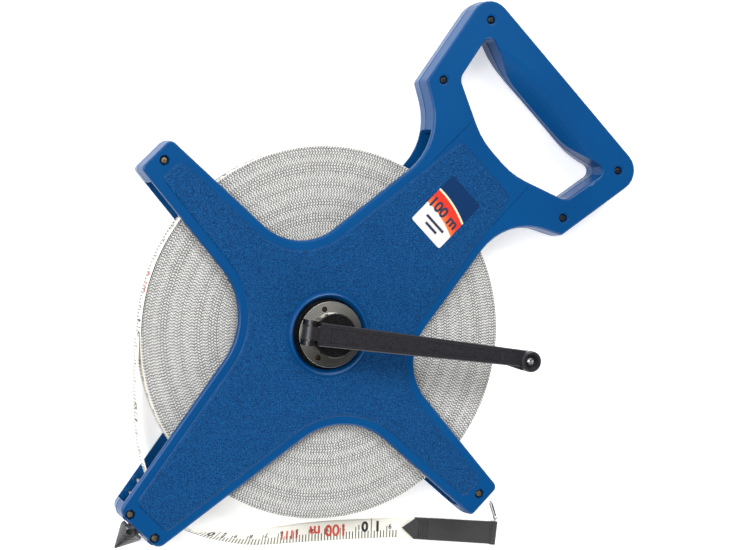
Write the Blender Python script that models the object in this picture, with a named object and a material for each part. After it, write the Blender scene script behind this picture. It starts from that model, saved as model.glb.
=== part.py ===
"""Open surveyor's tape reel, lying on its back: +Z is the reel's axle, from the rear shell up to the crank.

The model works in millimetres and writes metres. The origin is on the reel's axle, on the rear
resting face.
U and V name the handle's own axes: U runs from the spike through the axle to the grip, V is square to it.
"""

import math

import bmesh
import bpy
from mathutils import Matrix, Vector

MM = 0.001
ROOT2 = math.sqrt(2.0)

# Frame shells: heights are measured from the middle plane, outward to either side
MID_Z = 12.45
PART_GAP = 0.15
BORDER_H = 11.55
PANEL_H = 12.45
CAVITY_H = 8.75
WALL = 2.6
COIL_SLOT_R = 137.0
SPIKE_SLOT_U = -150.5
SPIKE_PIN_U = -146.0
SCREW_RECESS_R = 2.75
SCREW_SEAT_H = 8.6

# Reel
COIL_R = 110.0
CORE_R = 31.0
TAPE_WIDTH = 12.2
TAPE_THICK = 0.5
BORE_R = 21.0
COLLAR_R = 24.3
PLATE_R = 19.4
PLATE_TOP_Z = 29.4

# Crank, in its own axes: X along the arm
CRANK_ANGLE = math.radians(-7.0)
HINGE_X = -15.2
HINGE_Z = 37.2
ARM_BOTTOM_Z = 38.8
ARM_TOP_Z = 43.8
KNOB_X = 121.8
KNOB_Y = -1.2
KNOB_FACE_Z = 47.3

# Tape guide in the spike arm
ROLLER = (-92.0, -102.0)
GUIDE_PINS = ((-108.0, -84.5), (-112.3, -91.5))
PIN_R = 1.25
FIT = 0.3

# End sleeve on the tape's free end
SLEEVE_TIP = (57.0, -121.3)
SLEEVE_ANGLE = math.radians(-6.0)
SLEEVE_LENGTH = 64.5
HEM_S = 61.6
LOOP_BEND = 8.2
LOOP_LEAN = 25.0

SCREWS = {
    "shell_screw_handle_top": (99.7, 188.0),
    "shell_screw_handle_right": (188.0, 99.7),
    "shell_screw_neck_left": (69.8, 150.9),
    "shell_screw_neck_right": (150.9, 69.8),
    "shell_screw_upper_left": (-98.6, 98.9),
    "shell_screw_lower_right": (98.9, -98.6),
    "shell_screw_spike_left": (-115.6, -101.3),
    "shell_screw_spike_right": (-101.3, -115.6),
}

# The left half of the frame's outline: x, y, corner radius, steps in the corner
HALF_OUTLINE = [
    (-122.0, -99.2, 5.0, 5),
    (-42.4, 12.3, 43.0, 10),
    (-111.8, 94.2, 2.5, 3),
    (-95.0, 111.0, 3.5, 4),
    (-18.8, 44.3, 34.0, 10),
    (70.3, 112.9, 39.0, 8),
    (59.0, 150.0, 2.2, 2),
    (98.0, 206.5, 12.9, 7),
]

# The left half of the hand opening, as u, v, corner radius, steps
HALF_OPENING = [
    (149.6, 14.6, 50.0, 3),
    (164.5, 50.8, 7.0, 5),
    (198.6, 57.6, 4.5, 5),
    (190.3, 30.0, 60.0, 4),
]

# The finger slope along the grip: u and height, down from the face, then back over the top
GRIP_SLOPE = [
    (206.0, 12.1),
    (202.6, 11.6),
    (199.6, 10.7),
    (196.8, 9.3),
    (194.2, 7.4),
    (192.0, 5.2),
    (189.8, 2.6),
    (180.0, 2.6),
    (180.0, 14.0),
    (206.0, 14.0),
]
# How deep the slope is along the grip: distance from its middle and share of the full depth
GRIP_FADE = [
    (-57.0, 0.04),
    (-50.0, 0.35),
    (-42.0, 0.62),
    (-30.0, 0.86),
    (-15.0, 0.97),
    (0.0, 1.0),
    (15.0, 0.97),
    (30.0, 0.86),
    (42.0, 0.62),
    (50.0, 0.35),
    (57.0, 0.04),
]

# The tape's free end: x, y, z and twist in degrees, 0 with its width along Z and 90 lying flat
LEAD_PATH = [
    (-110.75, -1.0, 12.45, 0.0),
    (-111.1, -14.0, 12.45, 0.0),
    (-111.2, -30.0, 12.45, 0.0),
    (-110.7, -46.0, 12.45, 0.0),
    (-109.4, -60.0, 12.45, 0.0),
    (-107.1, -71.0, 12.45, 0.0),
    (-103.9, -81.5, 12.45, 0.0),
    (-100.4, -91.0, 12.45, 0.0),
    (-98.1, -98.0, 12.45, 0.0),
    (-97.4, -101.6, 12.45, 0.0),
    (-96.9, -104.2, 12.45, 0.0),
    (-95.3, -106.3, 12.45, 0.0),
    (-92.6, -107.8, 12.45, 0.0),
    (-87.0, -110.3, 12.4, 5.0),
    (-80.5, -113.2, 12.0, 14.0),
    (-71.9, -115.9, 11.0, 24.0),
    (-62.5, -118.3, 9.7, 34.0),
    (-46.6, -120.9, 7.2, 49.0),
    (-35.6, -121.8, 5.4, 59.0),
    (-24.1, -121.6, 3.7, 69.0),
    (-4.9, -121.2, 1.5, 83.0),
    (10.0, -121.1, 0.7, 90.0),
    (24.0, -121.1, 0.55, 90.0),
    (40.0, -121.2, 0.6, 90.0),
    (50.0, -121.3, 1.05, 90.0),
    (60.0, -121.7, 1.6, 90.0),
    (80.0, -123.7, 1.6, 90.0),
    (104.0, -126.2, 1.6, 90.0),
]


def material(name, colour, metallic=0.0, roughness=0.5):
    made = bpy.data.materials.new(name)
    made.use_nodes = True
    shader = made.node_tree.nodes["Principled BSDF"]
    shader.inputs["Base Color"].default_value = (*colour, 1.0)
    shader.inputs["Metallic"].default_value = metallic
    shader.inputs["Roughness"].default_value = roughness
    return made


def object_of(name, mesh, look):
    """A new object from a bmesh in millimetres, with faces turned outward."""
    bmesh.ops.recalc_face_normals(mesh, faces=mesh.faces)
    bmesh.ops.scale(mesh, vec=(MM, MM, MM), verts=mesh.verts)
    data = bpy.data.meshes.new(name)
    mesh.to_mesh(data)
    mesh.free()
    made = bpy.data.objects.new(name, data)
    bpy.context.scene.collection.objects.link(made)
    if look is not None:
        data.materials.append(look)
    return made


def combine(target, tool, operation):
    """Joins, cuts or intersects target with tool, and removes tool."""
    bpy.context.view_layer.update()
    modifier = target.modifiers.new("combine", "BOOLEAN")
    modifier.operation = operation
    modifier.solver = "EXACT"
    modifier.object = tool
    graph = bpy.context.evaluated_depsgraph_get()
    result = bpy.data.meshes.new_from_object(target.evaluated_get(graph))
    target.modifiers.clear()
    target.data = result
    bpy.data.objects.remove(tool)


def add(target, tool):
    combine(target, tool, "UNION")


def cut(target, tool):
    combine(target, tool, "DIFFERENCE")


def from_uv(u, v):
    return (u - v) / ROOT2, (u + v) / ROOT2


def inset_corners(corners, distance):
    """The same polygon with every side moved inward, for a polygon that runs clockwise."""
    count = len(corners)
    moved = []
    for i, (x, y, radius, steps) in enumerate(corners):
        px, py = corners[i - 1][:2]
        nx, ny = corners[(i + 1) % count][:2]
        before = Vector((x - px, y - py)).normalized()
        after = Vector((nx - x, ny - y)).normalized()
        in_before = Vector((before.y, -before.x))
        in_after = Vector((after.y, -after.x))
        turn = before.x * after.y - before.y * after.x
        shift = (in_before + in_after) * (distance / (1.0 + in_before.dot(in_after)))
        new_radius = radius - distance if turn < 0 else radius + distance
        moved.append((x + shift.x, y + shift.y, max(new_radius, 0.3), steps))
    return moved


def rounded(corners):
    """The polygon's points, with an arc at each corner."""
    count = len(corners)
    points = []
    for i, (x, y, radius, steps) in enumerate(corners):
        corner = Vector((x, y))
        back = (Vector(corners[i - 1][:2]) - corner).normalized()
        ahead = (Vector(corners[(i + 1) % count][:2]) - corner).normalized()
        half = back.angle(ahead) / 2.0
        middle = corner + (back + ahead).normalized() * (radius / math.sin(half))
        start = corner + back * (radius / math.tan(half)) - middle
        end = corner + ahead * (radius / math.tan(half)) - middle
        sweep = start.angle_signed(end)
        for k in range(steps + 1):
            angle = -sweep * k / steps
            cos, sin = math.cos(angle), math.sin(angle)
            points.append(
                (middle.x + start.x * cos - start.y * sin, middle.y + start.x * sin + start.y * cos)
            )
    return points


def loft(name, levels, look=None, place=None):
    """A closed solid through rings of equal count: levels is a list of (points, z)."""
    mesh = bmesh.new()
    rings = [[mesh.verts.new((x, y, z)) for x, y in points] for points, z in levels]
    count = len(rings[0])
    for lower, upper in zip(rings, rings[1:]):
        for i in range(count):
            j = (i + 1) % count
            mesh.faces.new((lower[i], lower[j], upper[j], upper[i]))
    caps = [mesh.faces.new(rings[0]), mesh.faces.new(rings[-1])]
    bmesh.ops.triangulate(mesh, faces=caps, ngon_method="EAR_CLIP")
    if place is not None:
        bmesh.ops.transform(mesh, matrix=place, verts=mesh.verts)
    return object_of(name, mesh, look)


def lathe(name, profile, steps, look=None, place=None, phase=0.0):
    """A solid of revolution about Z from (radius, z) pairs. Off the axis it closes as a ring."""
    mesh = bmesh.new()
    columns = []
    for k in range(steps):
        angle = phase + 2.0 * math.pi * k / steps
        columns.append([(r * math.cos(angle), r * math.sin(angle), z) for r, z in profile])
    on_axis = [r < 1e-6 for r, _ in profile]
    shared = {}
    for i, (_, z) in enumerate(profile):
        if on_axis[i]:
            shared[i] = mesh.verts.new((0.0, 0.0, z))
    verts = [
        [shared[i] if i in shared else mesh.verts.new(point) for i, point in enumerate(column)]
        for column in columns
    ]
    spans = list(zip(range(len(profile)), range(1, len(profile))))
    if not any(on_axis):
        spans.append((len(profile) - 1, 0))
    for k in range(steps):
        here, there = verts[k], verts[(k + 1) % steps]
        for i, j in spans:
            if on_axis[i] and on_axis[j]:
                continue
            corners = [here[i], there[i], there[j], here[j]]
            mesh.faces.new(list(dict.fromkeys(corners)))
    if place is not None:
        bmesh.ops.transform(mesh, matrix=place, verts=mesh.verts)
    return object_of(name, mesh, look)


def at(x, y, z=0.0):
    return Matrix.Translation((x, y, z))


def box(name, low, high, look=None, place=None):
    mesh = bmesh.new()
    bmesh.ops.create_cube(mesh, size=1.0)
    size = [b - a for a, b in zip(low, high)]
    middle = [(a + b) / 2.0 for a, b in zip(low, high)]
    bmesh.ops.scale(mesh, vec=size, verts=mesh.verts)
    bmesh.ops.translate(mesh, vec=middle, verts=mesh.verts)
    if place is not None:
        bmesh.ops.transform(mesh, matrix=place, verts=mesh.verts)
    return object_of(name, mesh, look)


def cylinder(name, radius, low, high, steps, look=None, place=None, phase=0.0):
    profile = [(0.0, low), (radius, low), (radius, high), (0.0, high)]
    return lathe(name, profile, steps, look, place, phase)


def set_origin(made, point):
    """Moves the object's origin to a point in millimetres and leaves its shape where it is."""
    target = Vector(point) * MM
    made.data.transform(Matrix.Translation(-target))
    made.location = target


def smooth(made, degrees=35.0):
    """Smooth shading, with edges sharper than the angle kept crisp."""
    mesh = bmesh.new()
    mesh.from_mesh(made.data)
    limit = math.radians(degrees)
    for face in mesh.faces:
        face.smooth = True
    for edge in mesh.edges:
        edge.smooth = len(edge.link_faces) == 2 and edge.calc_face_angle(0.0) < limit
    mesh.to_mesh(made.data)
    mesh.free()


def mirrored(half):
    """The whole outline from its left half: the right half is its mirror image across the handle's axis."""
    return half + [(y, x, radius, steps) for x, y, radius, steps in reversed(half)]


def opening_corners():
    left = [(*from_uv(u, v), radius, steps) for u, v, radius, steps in HALF_OPENING]
    right = [(*from_uv(u, -v), radius, steps) for u, v, radius, steps in reversed(HALF_OPENING)]
    return left + right


def line_meet(a, b, c, d):
    """Where the line through a and b meets the line through c and d."""
    ax, ay = a
    dx, dy = b[0] - ax, b[1] - ay
    ex, ey = d[0] - c[0], d[1] - c[1]
    along = ((c[0] - ax) * ey - (c[1] - ay) * ex) / (dx * ey - dy * ex)
    return ax + dx * along, ay + dy * along


def panel_corners():
    """The raised panel: the outline set in, and cut square before each arm's end and at the neck."""
    inner = [corner[:2] for corner in inset_corners(mirrored(HALF_OUTLINE), 5.5)]
    spike_end = (from_uv(-146.4, 10.0), from_uv(-146.4, -10.0))
    arm_end = ((-94.5 - 10.0, 94.5 - 10.0), (-94.5 + 10.0, 94.5 + 10.0))
    neck_end = (from_uv(139.3, 10.0), from_uv(139.3, -10.0))
    half = [
        (*line_meet(inner[0], inner[1], *spike_end), 4.0, 4),
        (*inner[1], 48.5, 10),
        (*line_meet(inner[1], inner[2], *arm_end), 4.0, 4),
        (*line_meet(inner[3], inner[4], *arm_end), 4.0, 4),
        (*inner[4], 39.5, 10),
        (*line_meet(inner[4], inner[5], *neck_end), 4.0, 4),
    ]
    return mirrored(half)


def shell(name, side, look):
    """One half of the frame. side is 1 for the front half and -1 for the rear."""

    def z(height):
        return MID_Z + side * height

    def layer(corners, steps):
        return [(rounded(inset_corners(corners, inset)), z(height)) for height, inset in steps]

    outline = mirrored(HALF_OUTLINE)
    opening = opening_corners()
    panel = panel_corners()

    sides = [(PART_GAP, -0.4), (PART_GAP + 0.5, -0.85), (10.2, -0.1), (11.1, 0.3), (BORDER_H, 1.0)]
    body = loft(name, layer(outline, sides), look)
    rise = [(10.4, -0.3), (BORDER_H + 0.1, -0.3), (PANEL_H - 0.3, 0.35), (PANEL_H, 1.2)]
    add(body, loft("panel", layer(panel, rise)))

    hollow = loft("hollow", layer(outline, [(-1.0, WALL), (CAVITY_H, WALL)]))
    cut(hollow, loft("keep", layer(opening, [(-2.0, -WALL), (CAVITY_H + 1.0, -WALL)])))
    grip = [(186.0, 50.0), (200.0, 50.0), (200.0, -50.0), (186.0, -50.0)]
    grip_points = [from_uv(u, v) for u, v in grip]
    cut(hollow, loft("keep", [(grip_points, z(-2.0)), (grip_points, z(CAVITY_H + 1.0))]))
    cut(body, hollow)

    low, high = sorted((z(-1.0), z(CAVITY_H)))
    cut(body, cylinder("slot", COIL_SLOT_R, low, high, 40))
    slot = [(SPIKE_SLOT_U, 45.0), (-90.0, 45.0), (-90.0, -45.0), (-148.0, -45.0)]
    slot += [(-148.0, 0.0), (SPIKE_SLOT_U, 0.0)]
    slot_points = [from_uv(u, v) for u, v in slot]
    cut(body, loft("slot", [(slot_points, z(-1.0)), (slot_points, z(CAVITY_H))]))

    edge = [(-1.0, 0.1), (PART_GAP, 0.35), (PART_GAP + 0.5, 0.8), (10.4, 0.1)]
    edge += [(11.2, -0.3), (BORDER_H + 0.1, -1.1), (14.0, -1.1)]
    cut(body, loft("hand", layer(opening, edge)))

    for x, y in SCREWS.values():
        low, high = sorted((z(PART_GAP + 0.1), z(9.6)))
        add(body, cylinder("boss", 4.3, low, high, 10, None, at(x, y)))

    sections = []
    for v, share in GRIP_FADE:
        section = []
        for u, height in GRIP_SLOPE:
            reach = 186.0 + (u - 186.0) * (0.45 + 0.55 * share)
            depth = 12.1 + (height - 12.1) * (share if height < 12.1 else 1.0)
            section.append((*from_uv(reach, v), z(depth)))
        sections.append(section)
    cut(body, prism("slope", sections))

    for x, y in (*GUIDE_PINS, ROLLER, from_uv(SPIKE_PIN_U, 0.0)):
        socket = [(PIN_R + FIT, z(6.9)), (2.9, z(6.9)), (2.9, z(9.3)), (PIN_R + FIT, z(9.3))]
        add(body, lathe("socket", socket, 8, None, at(x, y)))

    for sign in (1.0, -1.0):
        start = Vector(from_uv(151.5, 27.0 * sign))
        end = Vector(from_uv(118.6, 27.5 * sign))
        run = (end - start).normalized()
        side_step = Vector((-run.y, run.x)) * 0.3
        strip = [start + side_step, start - side_step, end - side_step, end + side_step]
        strip_points = [tuple(point) for point in strip]
        depths = (z(BORDER_H - 0.35), z(BORDER_H + 1.0))
        cut(body, loft("groove", [(strip_points, depth) for depth in depths]))

    along_u = Matrix.Rotation(math.pi / 4.0, 4, "Z") @ Matrix.Rotation(math.pi / 2.0, 4, "Y")
    shank_hole = Matrix.Translation((0.0, 0.0, MID_Z)) @ along_u
    cut(body, cylinder("hole", 4.5, -162.0, -140.0, 16, None, shank_hole))
    return body


def cut_screw_holes(front, rear, handle, x, y):
    """A recess over a clearance hole in the front half, and a blind hole in the rear half."""
    top = MID_Z + 14.0
    seat = MID_Z + SCREW_SEAT_H
    if handle:
        recess = [(0.0, seat), (SCREW_RECESS_R, seat), (SCREW_RECESS_R, MID_Z + 11.0)]
        recess += [(3.4, MID_Z + 11.1), (3.8, MID_Z + 11.6), (3.8, top), (0.0, top)]
        cut(front, lathe("recess", recess, 16, None, at(x, y)))
    else:
        recess = [(0.0, seat), (3.05, seat), (3.15, MID_Z + 11.2)]
        recess += [(3.5, MID_Z + 11.6), (3.5, top), (0.0, top)]
        cut(front, lathe("recess", recess, 6, None, at(x, y), 0.3))
    cut(front, cylinder("hole", 1.6, MID_Z - 1.0, seat + 1.0, 12, None, at(x, y)))
    cut(rear, cylinder("hole", 1.5, 4.4, MID_Z + 1.0, 12, None, at(x, y)))


def phillips_screw(name, x, y, head_z, head_r, head_h, shank_r, tip_z, look, turn=0.0):
    """A pan head screw pointing down, its head standing on head_z."""
    top = head_z + head_h
    profile = [(0.0, tip_z), (shank_r * 0.4, tip_z), (shank_r, tip_z + 1.6), (shank_r, head_z)]
    profile += [(head_r, head_z), (head_r, head_z + head_h * 0.5), (head_r * 0.72, top - 0.12), (0.0, top)]
    made = lathe(name, profile, 12, look, at(x, y))
    for quarter in (0.0, math.pi / 2.0):
        blade = Matrix.Translation((x, y, 0.0)) @ Matrix.Rotation(turn + quarter, 4, "Z")
        reach = head_r * 0.56
        low = (-reach, -head_r * 0.13, top - head_h * 0.55)
        cut(made, box("slot", low, (reach, head_r * 0.13, top + 1.0), None, blade))
    set_origin(made, (x, y, head_z))
    return made


def pin(name, x, y, radius, low, high, look, steps=12):
    """A plain dowel with chamfered ends, standing along Z."""
    chamfer = 0.3
    profile = [(0.0, low), (radius - chamfer, low), (radius, low + chamfer)]
    profile += [(radius, high - chamfer), (radius - chamfer, high), (0.0, high)]
    made = lathe(name, profile, steps, look, at(x, y))
    set_origin(made, (x, y, (low + high) / 2.0))
    return made


def ribbon(name, stations, width, thick, look):
    """A flat strip along stations of (x, y, z, twist), its ends square."""
    points = [Vector(station[:3]) for station in stations]
    mesh = bmesh.new()
    rings = []
    for i, (point, station) in enumerate(zip(points, stations)):
        ahead = points[min(i + 1, len(points) - 1)]
        behind = points[max(i - 1, 0)]
        run = (ahead - behind).normalized()
        side = Vector((run.y, -run.x, 0.0)).normalized()
        lift = run.cross(side).normalized()
        if lift.z < 0.0:
            lift = -lift
        twist = math.radians(station[3])
        across = lift * math.cos(twist) - side * math.sin(twist)
        face = run.cross(across).normalized()
        corners = ((-1, -1), (1, -1), (1, 1), (-1, 1))
        ring = []
        for a, b in corners:
            ring.append(mesh.verts.new(point + across * (a * width / 2.0) + face * (b * thick / 2.0)))
        rings.append(ring)
    for lower, upper in zip(rings, rings[1:]):
        for i in range(4):
            j = (i + 1) % 4
            mesh.faces.new((lower[i], lower[j], upper[j], upper[i]))
    mesh.faces.new(rings[0])
    mesh.faces.new(rings[-1])
    return object_of(name, mesh, look)


def wire(name, points, radius, sides, look):
    """A round wire through the points, with flat ends."""
    path = [Vector(point) for point in points]
    mesh = bmesh.new()
    rings = []
    normal = None
    for i, point in enumerate(path):
        run = (path[min(i + 1, len(path) - 1)] - path[max(i - 1, 0)]).normalized()
        if normal is None:
            normal = run.orthogonal().normalized()
        normal = (normal - run * normal.dot(run)).normalized()
        other = run.cross(normal)
        rings.append(
            [
                mesh.verts.new(
                    point
                    + normal * (radius * math.cos(2.0 * math.pi * k / sides))
                    + other * (radius * math.sin(2.0 * math.pi * k / sides))
                )
                for k in range(sides)
            ]
        )
    for lower, upper in zip(rings, rings[1:]):
        for i in range(sides):
            j = (i + 1) % sides
            mesh.faces.new((lower[i], lower[j], upper[j], upper[i]))
    mesh.faces.new(rings[0])
    mesh.faces.new(rings[-1])
    return object_of(name, mesh, look)


def arc_points(centre, radius, start, end, count):
    """Points of an arc in the XY plane, angles in degrees."""
    found = []
    for k in range(count + 1):
        angle = math.radians(start + (end - start) * k / count)
        found.append((centre[0] + radius * math.cos(angle), centre[1] + radius * math.sin(angle)))
    return found


def build_frame():
    blue = (0.010, 0.085, 0.32)
    front = shell("front_shell", 1, material("front_shell", blue, 0.0, 0.35))
    rear = shell("rear_shell", -1, material("rear_shell", blue, 0.0, 0.35))
    for name, (x, y) in SCREWS.items():
        cut_screw_holes(front, rear, "handle" in name or "neck" in name, x, y)

    cut(front, cylinder("bore", 22.4, 18.0, 30.0, 40))
    collar = [(BORE_R, 21.5), (23.4, 21.5), (COLLAR_R + 0.6, 24.4), (COLLAR_R + 0.3, 25.6)]
    collar += [(COLLAR_R - 0.4, 26.5), (23.2, 26.8), (22.7, 26.6), (BORE_R + 0.2, 24.4), (BORE_R, 23.9)]
    add(front, lathe("collar", collar, 40))
    axle_boss = [(5.3, 9.45), (9.4, 9.45), (9.4, 3.2), (5.3, 3.2)]
    add(rear, lathe("boss", axle_boss, 20))
    for made in (front, rear):
        smooth(made, 30.0)

    black = material("front_bush", (0.012, 0.012, 0.013), 0.0, 0.5)
    bush = [(18.3, 21.3), (20.7, 21.3), (20.7, 23.2), (20.4, 23.5), (18.6, 23.5), (18.3, 23.2)]
    smooth(lathe("front_bush", bush, 32, black))
    axle_look = material("axle", (0.55, 0.55, 0.54), 1.0, 0.3)
    smooth(pin("axle", 0.0, 0.0, 5.0, 4.0, 16.8, axle_look, 24))
    washer_look = material("thrust_washer", (0.75, 0.74, 0.70), 0.0, 0.4)
    washer = [(5.35, 9.75), (9.2, 9.75), (9.2, 10.35), (5.35, 10.35)]
    smooth(lathe("thrust_washer", washer, 20, washer_look))

    brassy = (0.42, 0.33, 0.22)
    dark = (0.05, 0.045, 0.045)
    for index, (name, (x, y)) in enumerate(SCREWS.items()):
        colour = dark if "handle" in name or "neck" in name else brassy
        look = material(name, colour, 1.0, 0.38)
        seat = MID_Z + SCREW_SEAT_H + FIT
        turn = 0.35 + 0.7 * index
        smooth(phillips_screw(name, x, y, seat, 2.15, 1.5, 1.2, 6.2, look, turn))

    steel = (0.58, 0.58, 0.57)
    spots = {"guide_pin_1": GUIDE_PINS[0], "guide_pin_2": GUIDE_PINS[1], "roller_pin": ROLLER}
    for name, (x, y) in spots.items():
        look = material(name, steel, 1.0, 0.25)
        smooth(pin(name, x, y, PIN_R, MID_Z - 8.4, MID_Z + 8.4, look))
    roller = [(PIN_R + FIT, 5.6), (5.2, 5.6), (5.2, 5.9), (4.7, 6.1)]
    roller += [(4.7, 18.8), (5.2, 19.0), (5.2, 19.3), (PIN_R + FIT, 19.3)]
    look = material("guide_roller", (0.70, 0.70, 0.66), 0.0, 0.4)
    made = lathe("guide_roller", roller, 20, look, at(*ROLLER))
    set_origin(made, (*ROLLER, MID_Z))
    smooth(made)


def build_spike():
    along_u = Matrix.Rotation(math.pi / 4.0, 4, "Z") @ Matrix.Rotation(math.pi / 2.0, 4, "Y")
    place = Matrix.Translation((0.0, 0.0, MID_Z)) @ along_u
    profile = [(0.0, -172.6), (0.5, -172.5), (7.2, -160.4), (7.4, -159.6), (7.0, -157.9)]
    profile += [(4.2, -157.9), (4.2, -143.6), (3.7, -143.1), (0.0, -143.1)]
    look = material("ground_spike", (0.06, 0.06, 0.062), 0.6, 0.5)
    spike = lathe("ground_spike", profile, 24, look, place)
    cut(spike, cylinder("hole", PIN_R + FIT, 0.0, 30.0, 12, None, at(*from_uv(SPIKE_PIN_U, 0.0))))
    cut(spike, cylinder("hole", 1.7, 16.0, 30.0, 12, None, at(*from_uv(-160.4, 2.2))))
    set_origin(spike, (*from_uv(-157.9, 0.0), MID_Z))
    smooth(spike)
    steel = material("spike_pin", (0.58, 0.58, 0.57), 1.0, 0.25)
    smooth(pin("spike_pin", *from_uv(SPIKE_PIN_U, 0.0), PIN_R, MID_Z - 8.4, MID_Z + 8.4, steel))


def build_reel():
    drum_profile = [(1.55, 17.3), (5.3, 17.3), (5.3, 10.65), (10.4, 10.65), (10.4, 4.6), (14.0, 4.6)]
    drum_profile += [(14.0, 16.4), (27.0, 16.4), (27.0, 4.6), (38.0, 4.6), (38.0, 5.7), (CORE_R, 5.7)]
    drum_profile += [(CORE_R, 19.2), (38.0, 19.2), (38.0, 20.3), (18.0, 20.3), (18.0, 27.9), (1.55, 27.9)]
    look = material("winding_drum", (0.03, 0.03, 0.032), 0.0, 0.5)
    drum = lathe("winding_drum", drum_profile, 32, look)
    crank = Matrix.Rotation(CRANK_ANGLE, 4, "Z")
    cut(drum, cylinder("recess", 14.6 / math.sqrt(3.0), 20.6, 30.0, 6, None, crank))
    rivets = [(15.4 * math.cos(a), 15.4 * math.sin(a)) for a in map(math.radians, (113.0, 247.0))]
    for x, y in rivets:
        cut(drum, cylinder("hole", 1.65, 22.2, 30.0, 12, None, crank @ at(x, y)))
    cut(drum, cylinder("groove", 1.9, 5.9, 19.0, 12, None, at(30.2, 0.0)))
    set_origin(drum, (0.0, 0.0, MID_Z))
    smooth(drum)
    look = material("tape_anchor_pin", (0.5, 0.5, 0.5), 1.0, 0.3)
    smooth(pin("tape_anchor_pin", 29.9, 0.0, 1.2, 6.3, 18.6, look))

    low, high = MID_Z - TAPE_WIDTH / 2.0, MID_Z + TAPE_WIDTH / 2.0
    coil_profile = [(CORE_R + FIT, low), (COIL_R, low), (COIL_R, high), (CORE_R + FIT, high)]
    look = material("tape_coil", (0.55, 0.54, 0.52), 0.0, 0.7)
    coil = lathe("tape_coil", coil_profile, 80, look)
    set_origin(coil, (0.0, 0.0, MID_Z))
    smooth(coil)

    plate_profile = [(8.5, 28.2), (19.1, 28.2), (PLATE_R, 28.5), (PLATE_R, PLATE_TOP_Z - 0.25)]
    plate_profile += [(PLATE_R - 0.25, PLATE_TOP_Z), (8.5, PLATE_TOP_Z)]
    look = material("hub_plate", (0.62, 0.60, 0.54), 1.0, 0.32)
    plate = lathe("hub_plate", plate_profile, 40, look)
    for index, (x, y) in enumerate(rivets):
        cut(plate, cylinder("hole", 1.65, 26.0, 32.0, 12, None, crank @ at(x, y)))
        name = "plate_rivet_%d" % (index + 1)
        spot = crank @ Vector((x, y, 0.0))
        look = material(name, (0.09, 0.07, 0.05), 0.8, 0.4)
        smooth(pin(name, spot.x, spot.y, 1.35, 22.6, 28.9, look))
    set_origin(plate, (0.0, 0.0, PLATE_TOP_Z))
    smooth(plate)


def build_crank_hub():
    """The black boss on the steel plate: a spigot drives the drum, two lugs carry the folding arm."""
    crank = Matrix.Rotation(CRANK_ANGLE, 4, "Z")
    upright = Matrix.Rotation(math.pi / 2.0, 4, "X")
    boss = [(0.0, 29.7), (12.9, 29.7), (13.1, 29.9), (13.1, 37.6), (12.5, 38.2), (0.0, 38.2)]
    look = material("crank_hub", (0.012, 0.012, 0.013), 0.0, 0.42)
    hub = lathe("crank_hub", boss, 32, look, crank)
    add(hub, cylinder("spigot", 14.0 / math.sqrt(3.0), 20.9, 30.5, 6, None, crank))
    hinge = crank @ Matrix.Translation((HINGE_X, 0.0, HINGE_Z)) @ upright
    cut(hub, cylinder("slot", 4.6, -4.3, 4.3, 24, None, hinge))
    for sign in (1.0, -1.0):
        low, high = sorted((4.35 * sign, 7.4 * sign))
        lug = box("lug", (-18.4, low, 30.1), (-8.6, high, HINGE_Z + 0.05), None, crank)
        add(lug, cylinder("barrel", 3.9, low + 0.02, high - 0.02, 24, None, hinge))
        add(hub, lug)
    cut(hub, cylinder("hole", PIN_R, -9.0, 9.0, 12, None, hinge))
    cut(hub, cylinder("hole", 4.3, 34.6, 40.0, 20))
    cut(hub, cylinder("hole", 1.6, 18.0, 40.0, 12))
    set_origin(hub, (0.0, 0.0, PLATE_TOP_Z))
    smooth(hub)

    look = material("hub_screw", (0.5, 0.5, 0.5), 1.0, 0.3)
    smooth(phillips_screw("hub_screw", 0.0, 0.0, 34.9, 3.8, 2.0, 1.25, 18.2, look, CRANK_ANGLE))

    rod = [(0.0, -7.2), (0.75, -7.2), (0.95, -7.0), (0.95, 7.0), (0.75, 7.2), (0.0, 7.2)]
    look = material("hinge_pin", (0.58, 0.58, 0.57), 1.0, 0.25)
    hinge_pin = lathe("hinge_pin", rod, 12, look, hinge)
    set_origin(hinge_pin, crank @ Vector((HINGE_X, 0.0, HINGE_Z)))
    smooth(hinge_pin)


def arm_section(x, width, bottom, top, edge):
    """The arm's outline across X: a rectangle with chamfered upper and lower edges."""
    return [
        (x, -width, bottom + edge),
        (x, -width + edge, bottom),
        (x, width - edge, bottom),
        (x, width, bottom + edge),
        (x, width, top - edge),
        (x, width - edge, top),
        (x, -width + edge, top),
        (x, -width, top - edge),
    ]


def prism(name, sections, look=None, place=None):
    """A closed solid through cross sections given as lists of 3-D points."""
    mesh = bmesh.new()
    rings = [[mesh.verts.new(point) for point in section] for section in sections]
    count = len(rings[0])
    for lower, upper in zip(rings, rings[1:]):
        for i in range(count):
            j = (i + 1) % count
            mesh.faces.new((lower[i], lower[j], upper[j], upper[i]))
    mesh.faces.new(rings[0])
    mesh.faces.new(rings[-1])
    if place is not None:
        bmesh.ops.transform(mesh, matrix=place, verts=mesh.verts)
    return object_of(name, mesh, look)


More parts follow.
